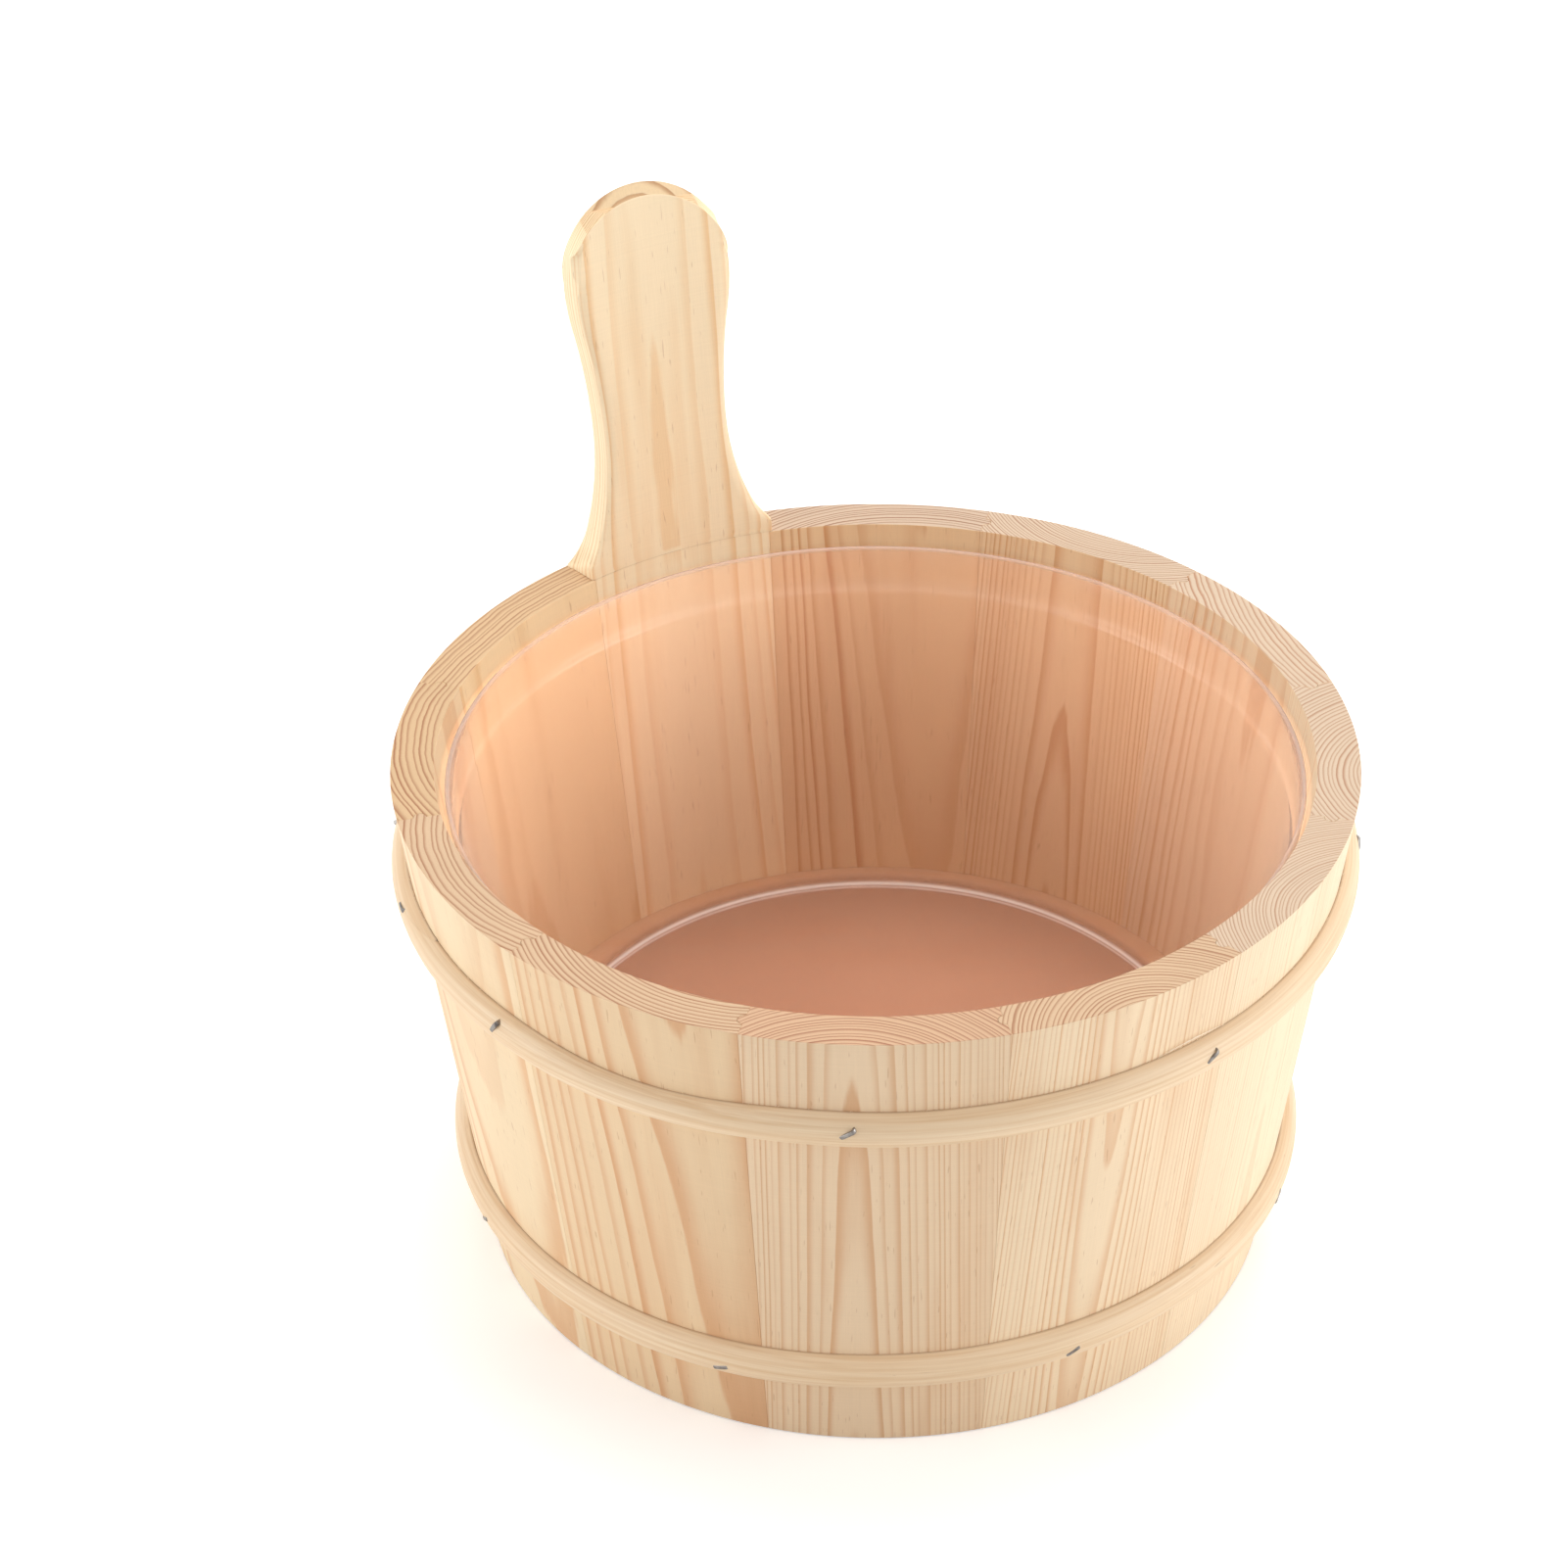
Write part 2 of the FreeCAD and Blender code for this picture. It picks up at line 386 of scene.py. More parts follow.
def plank_place(tree, turn):
    """Across the plank, up from its middle, along it, and how far it faces along the grain."""
    (along, across, up), (facing_along, _, _) = board_place(tree, -turn)
    return across, up - plank_middle, along + body_height / 2, facing_along.size()


# Painted shade on the floor ring beside the staves: where it starts and where it is full, in
# millimetres in from the staves' inner face
croze_shade_start = 11.0
croze_shade_full = 7.0


def painted_croze_shade(tree):
    """One on the ring of the floor beside the staves, where painted shade darkens the wood in the gap
    between the liner and the staves.
    """
    x, y, _ = object_place(tree)
    inside = inner_radius(bottom_top)
    return from_axis(x, y).rise(inside - croze_shade_start, inside - croze_shade_full)


# How pine looks: bends of its rings in millimetres, and spans as shares of one ring

slow_bend = 1.5
quick_bend = 0.3
ragged_bend = 0.09
ring_unevenness = 0.55
late_wood_rise = (0.38, 0.88)
late_wood_fall = (0.91, 0.99)
end_grain_rise = (0.45, 0.9)
canal_colour = (170, 112, 70)
croze_shade_colour = (186, 134, 98)
pine_relief_metres = 0.00012


def pine_material(name, wood, placing, angle):
    """Rings, fibres and colour worked out in the board, so that faces and ends agree.

    Each noise divides across, out and up by its own spans in millimetres, longest up the grain.
    """
    material, tree = new_material(name)
    across, out, up, along_grain = placing(tree, angle)
    offset = wood.seed * 37.0

    slow = noise(tree, across / 30 + offset, out / 30, up / 150)
    quick = noise(tree, across / 5 + offset, out / 5, up / 42 + offset)
    ragged = noise(tree, across / 1.1, out / 1.1 + offset, up / 9, 3.0, 0.6)

    climb = up / body_height
    pith_across = climb * (wood.rim[0] - wood.foot[0]) + wood.foot[0]
    pith_out = climb * (wood.rim[1] - wood.foot[1]) + wood.foot[1]
    aside = across - pith_across
    away = out - pith_out
    reach = (aside * aside + away * away).root()
    bent = reach + slow * (slow_bend * wood.waver) + quick * (quick_bend * wood.waver)
    bent = bent + ragged * (ragged_bend * wood.waver)
    rings = bent / wood.spacing + wood.shift
    rings = rings + line_noise(tree, rings * 0.4 + offset) * ring_unevenness
    number = rings.floor()
    part = rings - number
    each = chance(tree, number + offset)
    strength = (each * 0.65 + 0.35) * wood.strength
    late = part.rise(*late_wood_rise) * (1 - part.rise(*late_wood_fall))

    fibre = noise(tree, across / 0.3, out / 0.3 + offset, up / 16, 3.0, 0.7)
    tone = noise(tree, across / 18 + offset, out / 18, up / 60 + offset)
    warm = noise(tree, across / 9, out / 9 + offset, up / 90)
    canal = noise(tree, across / 0.45 + offset, out / 0.45, up / 5, 0.0).rise(0.52, 0.66)

    face = mix(tree, late.power(1.25) * strength, linear(*wood.face), linear(*wood.late))
    face = mix(tree, warm.rise(0.0, 0.6) * 0.3, face, linear(*wood.late))
    face = mix(tree, canal * 0.28, face, linear(*canal_colour))
    end = mix(tree, late.power(1.2) * (strength * 0.6 + 0.4), linear(*wood.end),
              linear(*wood.end_late))
    pores = noise(tree, across / 0.35, out / 0.35, up / 3 + offset, 2.0, 0.6)
    end = scaled(tree, end, pores * 0.07 + 1)
    is_end = along_grain.rise(*end_grain_rise)
    colour = mix(tree, is_end, face, end)
    turned = noise(tree, across / 60, out / 60 + offset, up / 0.55)
    colour = scaled(tree, colour, tone * 0.05 + fibre * 0.05 + turned * 0.03 + 1)
    # Painted shade: the planks turn darker toward the staves, in the gap beside the liner.
    if placing is plank_place:
        colour = mix(tree, painted_croze_shade(tree) * 0.3, colour, linear(*croze_shade_colour))

    relief = late * 0.6 + fibre * 0.5 + pores * (is_end * 0.8) - canal * 0.4
    normal = bumped(tree, relief, 0.35, pine_relief_metres)
    shader = add_node(tree, "ShaderNodeBsdfPrincipled",
                      {"Base Color": colour, "Roughness": is_end * 0.16 - late * 0.07 + 0.6,
                       "Normal": normal, "Specular IOR Level": 0.35})
    finish_material(tree, shader.outputs[0])
    return material


# Staves

def joint_points(angle, height, bead):
    """One joint face from its outer to its inner edge, with a half round along it."""
    turn = math.radians(angle)
    middle = inner_radius(height) + tongue_inset
    points = []
    for step in range(side_steps + 1):
        swing = math.pi * step / side_steps
        radius = middle + bead * math.cos(swing)
        back = bead * math.sin(swing)
        points.append((radius * math.cos(turn) + back * math.sin(turn),
                       radius * math.sin(turn) - back * math.cos(turn), height))
    return points


def stave_ring(height, first, last, depth, proud):
    """The stave's outline at a height, with the groove for the bottom cut to a depth."""
    outside = outer_radius(height) + proud
    inside = inner_radius(height) + depth + (0.0 if depth else proud)
    ring = []
    for step in range(face_steps + 1):
        ring.append(polar(outside, first + (last - first) * step / face_steps, height))
    ring += joint_points(last, height, groove_radius)
    for step in range(face_steps + 1):
        ring.append(polar(inside, last + (first - last) * step / face_steps, height))
    ring += joint_points(first, height, tongue_radius)[::-1]
    return ring


def stave_rows(first, last, proud):
    """Outlines from foot to rim, two at each wall of the groove for the bottom."""
    places = ((0, 0.0), (croze_foot, 0.0), (croze_foot, croze_depth), (bottom_top, croze_depth),
              (bottom_top, 0.0), (body_height / 2, 0.0), (body_height, 0.0))
    return [stave_ring(height, first, last, depth, proud) for height, depth in places]


edge_break = 0.16


def make_stave(name, first, angle, wood, proud):
    material = pine_material("pine_" + name, wood, stave_place, first + angle / 2)
    points, faces = joined(*loft(stave_rows(first, first + angle, proud)))
    piece = piece_from(name + "_wood", points, faces, material, "pail", [name])
    soften(piece, edge_break)


# The handle, growing from the tall stave

handle_rise = 103.2
crown_radius = 25.0
crown_skew_angle = 15.6
neck_rise = 36.0
flare_rise = 9.0
neck_half_width = 18.5
paddle_half_width = 23.1
paddle_rise = 80.5
lower_neck_radius = 70.0
flare_radius = 20.0
upper_neck_share = 0.69
handle_edge_radius = 2.6
rounding_start = 0.8
rounding_run = 7.0
side_margin = 0.06

board_rises = (0.8, 1.6, 2.5, 3.4, 4.5, 6, 7.5, 9, 11, 13, 16, 19, 23, 27, 31, 36, 41, 46, 51,
               56, 60, 64, 68, 72, 76)
crown_rows = 16
crown_first_turn = 2
crown_sweep = 46


def side_half_width(rise):
    """Half the board's width at a rise above the rim, from the arcs of its outline."""
    widening = paddle_half_width - neck_half_width
    climb = paddle_rise - neck_rise
    both_radii = (widening ** 2 + climb ** 2) / (2 * widening)
    upper_radius = upper_neck_share * both_radii
    side_radius = both_radii - upper_radius
    joint_rise = neck_rise + upper_radius * climb / both_radii
    low_swing = math.asin((neck_rise - flare_rise) / lower_neck_radius)
    joint_across = neck_half_width + lower_neck_radius * (1 - math.cos(low_swing))
    flare_across = joint_across + flare_radius * math.cos(low_swing)
    flare_middle = flare_rise + flare_radius * math.sin(low_swing)
    if rise < flare_rise:
        return flare_across - arc(flare_radius, flare_middle - rise)
    if rise < neck_rise:
        return neck_half_width + lower_neck_radius - arc(lower_neck_radius, neck_rise - rise)
    if rise < joint_rise:
        return neck_half_width + upper_radius - arc(upper_radius, rise - neck_rise)
    if rise < paddle_rise:
        return paddle_half_width - side_radius + arc(side_radius, paddle_rise - rise)
    return paddle_half_width


def on_board(across, rise, depth):
    """A point of the leaning board, from the middle of its foot at the rim."""
    out = rim_radius - half_thickness + rise * math.sin(lean) + depth * math.cos(lean)
    return (-across, out, body_height + rise * math.cos(lean) - depth * math.sin(lean))


def face_depth(across, rise, side):
    """How far the board's outer or inner face lies from its middle, as the staves are curved."""
    radius = rim_radius + rise * math.sin(lean) - (0 if side > 0 else stave_thickness)
    sag = radius - arc(radius, across)
    return (side * half_thickness - sag) * math.cos(lean)


def rounding(across, width, radius):
    """How far the rounded side has dropped from the face."""
    inward = abs(across) - (width - radius)
    if inward <= 0 or radius <= 0:
        return 0.0
    return radius - math.sqrt(max(0.0, radius ** 2 - inward ** 2))


def joint_limit(depth, rise):
    """Half the width that the tall stave's own joints leave to the board."""
    out = rim_radius - half_thickness + rise * math.sin(lean) + depth * math.cos(lean)
    return out * math.tan(math.radians(handle_stave_angle / 2))


def board_row(rise, bulge=0.0, half=None, spread=0.0):
    """One outline round the board: outer face, one side, inner face, other side."""
    width = side_half_width(min(rise, paddle_rise))
    grown = min(1.0, max(0.0, (rise - rounding_start) / rounding_run))
    radius = handle_edge_radius * grown ** 0.5
    sides = []
    for side in (1, -1):
        limit = min(width, joint_limit(side * half_thickness, rise))
        aside = -side * half_thickness * math.tan(math.radians(crown_skew_angle))
        left, right = -limit, limit
        if half is not None:
            left = max(-limit, aside - half)
            right = min(limit, aside + half)
        face = []
        for step in range(face_steps + 1):
            share = 2 * step / face_steps - 1
            eased = math.sin(share * math.pi / 2)
            across = (left + right) / 2
            across += (right - left) / 2 * (eased * (1 - spread) + share * spread)
            top = 0.0
            if bulge:
                under = max(0.0, crown_radius ** 2 - (across - aside) ** 2)
                top = bulge * (handle_rise - crown_radius + math.sqrt(under) - rise)
            depth = face_depth(across, rise, side)
            depth -= side * rounding(across, width, radius)
            face.append((across, rise + top, depth))
        sides.append(face)
    outer_face, inner_face = sides[0], sides[1][::-1]
    right_side = straight_side(outer_face[-1], inner_face[0], rise)
    left_side = straight_side(inner_face[-1], outer_face[0], rise)
    outline = outer_face + right_side + inner_face + left_side
    return [on_board(across, height, depth) for across, height, depth in outline]


def straight_side(first, last, rise):
    """The board's side between its two faces."""
    points = []
    for step in range(side_steps + 1):
        share = side_margin + (1 - 2 * side_margin) * step / side_steps
        depth = first[2] + (last[2] - first[2]) * share
        across = first[0] + (last[0] - first[0]) * share
        points.append((across, rise, depth))
    return points


def make_handle_stave(wood):
    """Below the rim a stave like the others, above it the waisted board with its round crown."""
    material = pine_material("pine_handle_stave", wood, stave_place, 90.0)
    first = handle_start
    last = handle_start + handle_stave_angle
    rows = stave_rows(first, last, 0.0)
    rows.append([(across, out, body_height) for across, out, _ in board_row(0.0)])
    rows += [board_row(rise) for rise in board_rises]
    middle_rise = handle_rise - crown_radius
    for number in range(crown_rows):
        share = number / (crown_rows - 1)
        turn = math.radians(crown_first_turn + crown_sweep * share)
        rows.append(board_row(middle_rise + crown_radius * math.sin(turn), share ** 2,
                              crown_radius * math.cos(turn), min(1.0, share * 1.5)))
    points, faces = joined(*loft(rows))
    piece = piece_from("handle_stave_wood", points, faces, material, "pail", ["handle_stave"])
    soften(piece, edge_break)


# Hoops

hoop_height = 10.6
hoop_depth = 4.8
hoop_clearance = 0.05
scarf_length = 96.0
scarf_gap = 0.4
upper_hoop_height = 114.5
lower_hoop_height = 27.9
upper_scarf_angle = 154.8
lower_scarf_angle = 63.8
scarf_ease = 0.2
scarf_thinnest = 0.3
scarf_tip = 1.0
hoop_steps = 360
section_steps = 12
hoop_back_inset = 0.15
hoop_fullness_change = 0.02
hoop_wander = 0.22
cane_edge_break = 0.12
cane_edge_angle = 55

# Dips below a true circle: a depth in millimetres, then a middle and a reach in degrees
upper_hoop_dip = (2.2, -147, 22)
lower_hoop_dips = ((2.2, -160, 75), (0.7, -45, 35))
upper_hoop_top_sag = 0.5
upper_hoop_foot_sag = 0.3
foot_share_of_dip = 0.3


def on_wall(height, along, out, angle):
    """A point by the wall, along its slope and out from its face."""
    radius = outer_radius(height) + along * math.sin(lean) + out * math.cos(lean)
    return polar(radius, angle, height + along * math.cos(lean) - out * math.sin(lean))


def hoop_face(along):
    """How far the hoop's round face stands out from the wall."""
    half = hoop_height / 2
    radius = (half ** 2 + hoop_depth ** 2) / (2 * hoop_depth)
    return arc(radius, min(abs(along), half)) - (radius - hoop_depth) + hoop_clearance


def dip_at(angle, dip):
    """A smooth dip of some depth over a span of the pail's round."""
    depth, middle, reach = dip
    away = abs((angle - middle + 180) % 360 - 180) / reach
    return depth * (0.5 + 0.5 * math.cos(math.pi * away) if away < 1 else 0.0)


def sagging(hoop_name, angle):
    """How far the hoop's upper and lower edges lie below a true circle."""
    if hoop_name == "upper_hoop":
        dip = dip_at(angle, upper_hoop_dip)
        return upper_hoop_top_sag + dip, upper_hoop_foot_sag + foot_share_of_dip * dip
    drop = dip_at(angle, lower_hoop_dips[0]) + dip_at(angle, lower_hoop_dips[1])
    return drop, drop


def waver(turn, seed):
    """A slow unevenness round the hoop, about zero."""
    waves = math.sin(3 * turn + seed) + math.sin(7 * turn + 2 * seed)
    return (waves + 0.6 * math.sin(17 * turn + seed)) / 3


def sag_at(along, top_sag, foot_sag):
    """The sag at a height of the hoop's face, between its two edges."""
    share = 0.5 + along / hoop_height
    return foot_sag + (top_sag - foot_sag) * share


def hoop_outline(name, height, angle, low, high, turn, seed):
    """The half round section between two heights of its face, in place and as a flat outline."""
    fullness = 1 + hoop_fullness_change * waver(turn, seed)
    sags = sagging(name, angle)
    wander = hoop_wander * waver(turn, seed + 2)
    outline = []
    for step in range(section_steps + 1):
        share = 0.5 - 0.5 * math.cos(math.pi * step / section_steps)
        along = low + (high - low) * share
        out = hoop_clearance + (hoop_face(along) - hoop_clearance) * fullness
        outline.append((along + wander - sag_at(along, *sags), out))
    inset = min(hoop_back_inset, (high - low) / 4)
    outline.append((high - inset + wander - sag_at(high, *sags), hoop_clearance))
    outline.append((low + inset + wander - sag_at(low, *sags), hoop_clearance))
    return [on_wall(height, along, out, angle) for along, out in outline], outline


def make_hoop(name, height, scarf_angle, material, seed):
    """A strip bent round the staves, its two ends cut to long wedges that pass each other."""
    radius = outer_radius(height)
    round_length = 2 * math.pi * radius
    half = hoop_height / 2
    reach = scarf_length / 2
    total = round_length + scarf_length - 2 * scarf_tip
    rings = []
    grain = []
    for step in range(hoop_steps + 1):
        length = scarf_tip - reach + total * step / hoop_steps
        low, high = -half, half
        if length < reach:
            high = min(half, hoop_height * length / scarf_length - scarf_gap / 2 + scarf_ease)
        past = length - round_length
        if past > -reach:
            low = max(-half, hoop_height * past / scarf_length + scarf_gap / 2 - scarf_ease)
        if high - low < scarf_thinnest:
            high = low + scarf_thinnest
        turn = length / radius
        angle = scarf_angle + math.degrees(turn)
        ring, flat = hoop_outline(name, height, angle, low, high, turn, seed)
        rings.append(ring)
        grain += [(length, along, out) for along, out in flat]
    points, faces = loft(rings)
    piece = piece_from(name + "_cane", points, faces, material, "pail", [name])
    mark_grain(piece, grain)
    soften(piece, cane_edge_break, cane_edge_angle)


def mark_grain(piece, grain):
    """Keeps each point's place along, across and out of a bent strip, in millimetres."""
    attribute = piece.data.attributes.new("grain", "FLOAT_VECTOR", "POINT")
    for item, value in zip(attribute.data, grain):
        item.vector = value


def cane_material(name, seed):
    """Split cane: long fine fibres, a satin skin and a few brown dashes, with painted shade darkening
    it by the wall.
    """
    material, tree = new_material(name)
    place = add_node(tree, "ShaderNodeAttribute", attribute_name="grain")
    along, across, out = split(tree, place.outputs["Vector"])
    fibre = noise(tree, along / 34 + seed, across / 0.22, out / 0.22, 3.0, 0.7)
    strand = noise(tree, along / 60 + seed, across / 0.9, out / 0.9, 2.0, 0.6)
    tone = noise(tree, along / 90 + seed, across / 6, out / 6)
    dash = noise(tree, along / 6 + seed, across / 0.45, out / 0.45, 1.0).rise(0.5, 0.66)
    dash = dash * noise(tree, along / 45 + seed, across / 5, out / 5, 1.0).rise(0.05, 0.4)
    colour = mix(tree, strand.rise(-0.5, 0.7), linear(242, 217, 184), linear(225, 190, 148))
    colour = mix(tree, tone.rise(0.0, 0.8) * 0.4, colour, linear(214, 178, 132))
    colour = mix(tree, dash * 0.7, colour, linear(126, 76, 42))
    # Painted shade: the cane darkens toward the wall, where its edges meet the staves.
    painted_wall_shade = 1 - out.rise(0.15, 0.8)
    colour = mix(tree, painted_wall_shade * 0.45, colour, linear(142, 96, 58))
    colour = scaled(tree, colour, fibre * 0.07 + 1)
    normal = bumped(tree, fibre * 0.6 + strand * 0.8 - dash * 0.4, 0.4, 0.00015)
    shader = add_node(tree, "ShaderNodeBsdfPrincipled",
                      {"Base Color": colour, "Roughness": strand * 0.06 + 0.46,
                       "Normal": normal, "Specular IOR Level": 0.45})
    finish_material(tree, shader.outputs[0])
    return material


# Staples

staple_crown = 5.0
staple_wire_width = 1.2
staple_wire_thickness = 0.7
staple_proud = 0.2
staple_tilt_angle = 30.0
staple_depth = 3.2
staple_bend = 0.75
bend_steps = 4
wire_sides = 16


def squarish(value, half):
    """A sine or cosine drawn out toward the corners of a rounded square."""
    return abs(value) ** 0.5 * math.copysign(half, value)


def staple_rings():
    """The bent wire's outlines in its own frame: out of the wood, along its crown, across."""
    half = staple_crown / 2 - staple_wire_thickness / 2
    line = [(-staple_depth, -half, 0.0, -1.0)]
    for start_angle, middle in ((180.0, staple_bend - half), (90.0, half - staple_bend)):
        for step in range(bend_steps + 1):
            turn = math.radians(start_angle - 90 * step / bend_steps)
            line.append((-staple_wire_thickness / 2 - staple_bend + staple_bend * math.sin(turn),
                         middle + staple_bend * math.cos(turn), math.sin(turn), math.cos(turn)))
    line.append((-staple_depth, half, 0.0, 1.0))
    rings = []
    for out, along, normal_out, normal_along in line:
        ring = []
        for step in range(wire_sides):
            turn = 2 * math.pi * (step + 0.5) / wire_sides
            thick = squarish(math.sin(turn), staple_wire_thickness / 2)
            wide = squarish(math.cos(turn), staple_wire_width / 2)
            ring.append((out + normal_out * thick, along + normal_along * thick, wide))
        rings.append(ring)
    return rings


def place_staple(point, height, angle, tilt, lift, sag):
    """A point of the wire, on the round face of a hoop that sags at that place."""
    out, along, across = point
    slant = math.radians(tilt)
    flat = along * math.cos(slant) - across * math.sin(slant)
    upward = along * math.sin(slant) + across * math.cos(slant)
    stand = hoop_face(lift + sag) + staple_proud
    radial = out * math.cos(lean) + upward * math.sin(lean)
    vertical = upward * math.cos(lean) - out * math.sin(lean)
    radius = outer_radius(height) + lift * math.sin(lean) + stand * math.cos(lean) + radial
    rise = height + lift * math.cos(lean) - stand * math.sin(lean) + vertical
    turn = math.radians(angle)
    return (radius * math.cos(turn) - flat * math.sin(turn),
            radius * math.sin(turn) + flat * math.cos(turn), rise)


def make_staples(name, places, material):
    """All the staples of one hoop."""
    points = []
    faces = []
    for place in places:
        rings = []
        for ring in staple_rings():
            rings.append([place_staple(point, *place) for point in ring])
        add_loft(points, faces, rings)
    piece_from(name + "_wire", points, faces, material, "pail", [name])


def wire_material():
    """Bright drawn steel wire, lightly brushed."""
    material, tree = new_material("staple_steel")
    x, y, z = object_place(tree)
    brushed = noise(tree, x * 900, y * 900, z * 5000, 3.0, 0.7)
    dull = noise(tree, x * 500, y * 500, z * 500)
    colour = mix(tree, dull.rise(-0.3, 0.6), linear(150, 146, 142), linear(96, 88, 84))
    normal = bumped(tree, brushed, 0.2, 0.00004)
    shader = add_node(tree, "ShaderNodeBsdfPrincipled",
                      {"Base Color": colour, "Roughness": brushed * 0.08 + 0.32,
                       "Metallic": 1.0, "Normal": normal})
    finish_material(tree, shader.outputs[0])
    return material


# Loose fibres raised by the saw and the hoops

# Each place on a strand: an angle, a climb over the upper hoop's edge and how far it stands out
splinter = [(-84.7, 0.2, 0.1), (-82.5, 1.9, 0.5), (-79.5, 2.6, 0.7), (-76.5, 1.5, 0.4),
            (-74.5, 0.1, 0.1)]
splinter_thickness = 0.14
fuzz_count = 70
fuzz_thickness = 0.07
strand_steps = 8
strand_tip = 0.04
strand_lift = 0.15
strand_sides = 5


def make_fibres(material):
    """Fine pale slivers: one long splinter over the upper hoop and short fuzz by its edge."""
    source = random.Random(21)
    strands = [splinter]
    for _ in range(fuzz_count):
        angle = source.uniform(-205, -20)
        length = source.uniform(0.3, 1.0)
        turn = source.uniform(-0.9, 0.9)
        curl = source.uniform(0.1, 0.5)
        strands.append([(angle, -0.1, 0.0), (angle + turn * length * 0.25, length * 0.5, curl * 0.6),
                        (angle + turn * length * 0.4, length, curl)])
    points = []
    faces = []
    for strand in strands:
        thick = splinter_thickness if strand is splinter else fuzz_thickness
        rings = []
        for place, (angle, climb, out) in enumerate(smooth_line(strand)):
            share = min(1 - strand_tip, place / strand_steps + strand_tip)
            size = thick * (0.25 + 0.75 * math.sin(math.pi * share))
            base = hoop_height / 2 - sagging("upper_hoop", angle)[0] + climb
            ring = []
            for side in range(strand_sides):
                turn = 2 * math.pi * side / strand_sides
                ring.append(on_wall(upper_hoop_height, base + size * math.cos(turn),
                                    strand_lift + out + size * math.sin(turn), angle))
            rings.append(ring)
        add_loft(points, faces, rings)
    piece_from("loose_fibres", points, faces, material, "pail", [])


def smooth_line(strand):
    """Places along a smooth curve between a strand's ends, pulled by the points between."""
    line = []
    last = len(strand) - 1
    for step in range(strand_steps + 1):
        share = step / strand_steps
        place = [0.0, 0.0, 0.0]
        for number, point in enumerate(strand):
            weight = math.comb(last, number) * share ** number * (1 - share) ** (last - number)
            place = [so_far + weight * part for so_far, part in zip(place, point)]
        line.append(place)
    return line


def fibre_material():
    """Pale torn wood, slightly shiny along its length."""
    material, tree = new_material("loose_fibre")
    x, y, z = object_place(tree)
    tone = noise(tree, x * 400, y * 400, z * 400)
    colour = mix(tree, tone.rise(-0.4, 0.6), linear(252, 240, 220), linear(240, 214, 178))
    shader = add_node(tree, "ShaderNodeBsdfPrincipled",
                      {"Base Color": colour, "Roughness": tone * 0.1 + 0.55})
    finish_material(tree, shader.outputs[0])
    return material


# Liner

liner_rim_height = 136.0
liner_floor_height = bottom_top + 0.06
liner_rim_gap = 1.56
liner_floor_gap = 9.2
liner_thickness = 1.2
liner_collar_height = 12.7
liner_step = 0.9
liner_corner_radius = 3.0
liner_corner_steps = 8
liner_around_steps = 160
liner_floor_shares = (0.0, 0.35, 0.7, 0.97)
liner_wall_ring = 30.0
liner_step_ease = (1.5, 0.3)
liner_step_inset = 0.25
liner_step_round = 0.4
liner_collar_ring = 6.0
liner_lip_round = 0.5
liner_lip_outside = 0.35
liner_lip_inside = 0.85


def liner_profile():
    """The tub's section from the middle of its floor, outside first and then back inside."""
    floor_radius = inner_radius(bottom_top) - liner_floor_gap
    rim = inner_radius(liner_rim_height) - liner_rim_gap
    thick = liner_thickness
    collar_foot = liner_rim_height - liner_collar_height
    collar_radius = rim - slope * liner_collar_height
    wall_radius = collar_radius - liner_step
    wall_share = (wall_radius - floor_radius) / (collar_foot - liner_floor_height)
    wall_tilt = math.atan(wall_share)
    turn = math.pi / 2 - wall_tilt
    corner_across = floor_radius - liner_corner_radius * math.tan(turn / 2)
    corner_height = liner_floor_height + liner_corner_radius
    outer = []
    inner = []
    for share in liner_floor_shares:
        outer.append((corner_across * share, liner_floor_height))
        inner.append((corner_across * share, liner_floor_height + thick))
    for side, radius in ((outer, liner_corner_radius), (inner, liner_corner_radius - thick)):
        for step in range(liner_corner_steps + 1):
            swing = step * turn / liner_corner_steps - math.pi / 2
            side.append((corner_across + radius * math.cos(swing),
                         corner_height + radius * math.sin(swing)))
    for side, wall, lip in ((outer, 0.0, liner_lip_outside), (inner, thick, liner_lip_inside)):
        foot = collar_foot + wall
        heights = [liner_floor_height + liner_wall_ring] + [foot - ease for ease in liner_step_ease]
        for height in heights:
            across = floor_radius + wall_share * (height - liner_floor_height)
            side.append((across - wall / math.cos(wall_tilt), height))
        side.append((collar_radius + slope * wall - wall - liner_step_inset, foot))
        side.append((collar_radius + slope * (wall + liner_step_round) - wall,
                     foot + liner_step_round))
        side.append((collar_radius + slope * liner_collar_ring - wall,
                     collar_foot + liner_collar_ring))
        side.append((rim - slope * liner_lip_round - wall, liner_rim_height - liner_lip_round))
        side.append((rim - lip, liner_rim_height))
    return outer, inner


def make_liner(material):
    """The section turned about the pail's axis, its floor closed at a middle point on each side."""
    outer, inner = liner_profile()
    section = (outer + inner[::-1])[1:-1]
    count = len(section)
    points = []
    faces = []
    for step in range(liner_around_steps):
        angle = 360 * step / liner_around_steps
        points += [polar(radius, angle, height) for radius, height in section]
    starts = [step * count for step in range(liner_around_steps)]
    pairs = list(zip(starts, starts[1:] + starts[:1]))
    for here, there in pairs:
        for place in range(count - 1):
            faces.append((here + place, there + place, there + place + 1, here + place + 1))
    centre = len(points)
    points.append((0.0, 0.0, liner_floor_height))
    points.append((0.0, 0.0, liner_floor_height + liner_thickness))
    for here, there in pairs:
        faces.append((centre, there, here))
        faces.append((centre + 1, here + count - 1, there + count - 1))
    piece_from("liner_tub", points, faces, material, "liner", ["liner"])


# Painted highlight: a pale ring on the liner's floor corner, set in from the floor's edge and fading
# over a reach, in millimetres
liner_highlight_inset = 1.2
liner_highlight_reach = 0.8


